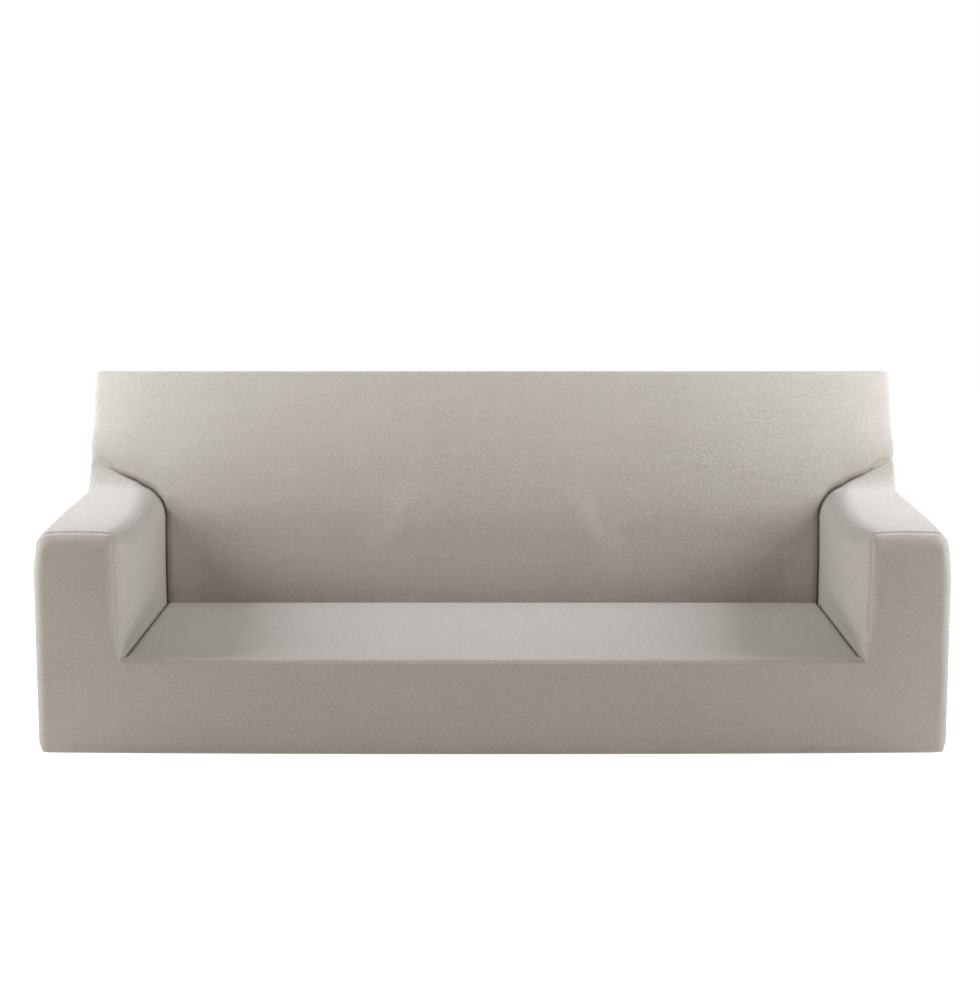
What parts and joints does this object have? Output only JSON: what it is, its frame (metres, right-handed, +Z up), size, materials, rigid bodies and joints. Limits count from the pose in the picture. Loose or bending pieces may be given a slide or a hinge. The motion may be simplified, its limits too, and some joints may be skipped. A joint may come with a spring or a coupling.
{
  "type": "sofa slipcover",
  "caption": "Fitted stretch-knit slipcover for a three-place sofa with square arms, hollow, with a tucked seat deck, worn under loose cushions.",
  "frame": {"origin": "floor level, at the middle of the cover's width and depth", "axes": "+X along the width, -Y towards the front of the sofa, +Z up"},
  "size_m": [2.2084, 0.9039, 0.8557],
  "materials": {
    "stretch_knit": "matt greige stretch knit with a small raised bubble texture"
  },
  "bodies": {
    "root": {"front_panel": "stretch_knit", "arm_cover_left": "stretch_knit", "arm_cover_right": "stretch_knit", "inside_back": "stretch_knit", "outside_back": "stretch_knit", "seat_deck": "stretch_knit"}
  },
  "joints": []
}
